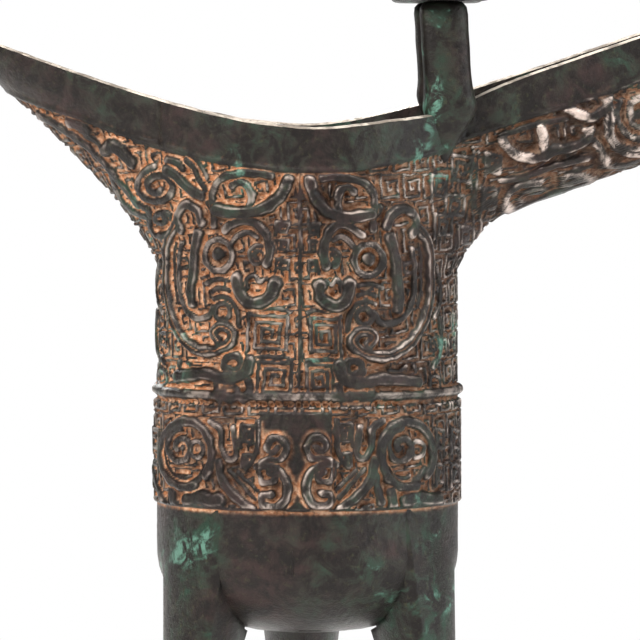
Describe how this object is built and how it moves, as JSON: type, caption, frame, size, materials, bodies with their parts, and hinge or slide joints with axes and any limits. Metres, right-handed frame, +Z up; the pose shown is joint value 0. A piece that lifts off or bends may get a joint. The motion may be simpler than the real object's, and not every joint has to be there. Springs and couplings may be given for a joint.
{
  "type": "tripod libation cup",
  "caption": "Cast bronze tripod libation cup with a channel spout, pointed tail, capped posts, strap handle and blade legs, for warming and pouring wine.",
  "frame": {"origin": "middle of the cup's footprint, on the surface that the three feet stand on", "axes": "+X towards the spout, +Y towards the handle, +Z up"},
  "size_m": [0.1664, 0.0776, 0.206],
  "materials": {
    "bowl_bronze": "aged and patinated",
    "bronze": "aged and patinated",
    "worn_bronze": "aged, rubbed on its edges",
    "chaplet_bronze": "corroded"
  },
  "bodies": {
    "root": {"cup_body": "bowl_bronze", "leg_tail_side": "bronze", "leg_spout_side": "bronze", "leg_handle_side": "bronze", "post_near": "worn_bronze", "post_far": "worn_bronze", "post_cap_near": "bronze", "post_cap_far": "bronze", "handle_strap": "bronze", "handle_ox_head": "bronze", "wall_chaplet_1": "chaplet_bronze", "wall_chaplet_2": "chaplet_bronze", "wall_chaplet_3": "chaplet_bronze", "floor_chaplet_1": "chaplet_bronze", "floor_chaplet_2": "chaplet_bronze", "floor_chaplet_3": "chaplet_bronze"}
  },
  "joints": []
}
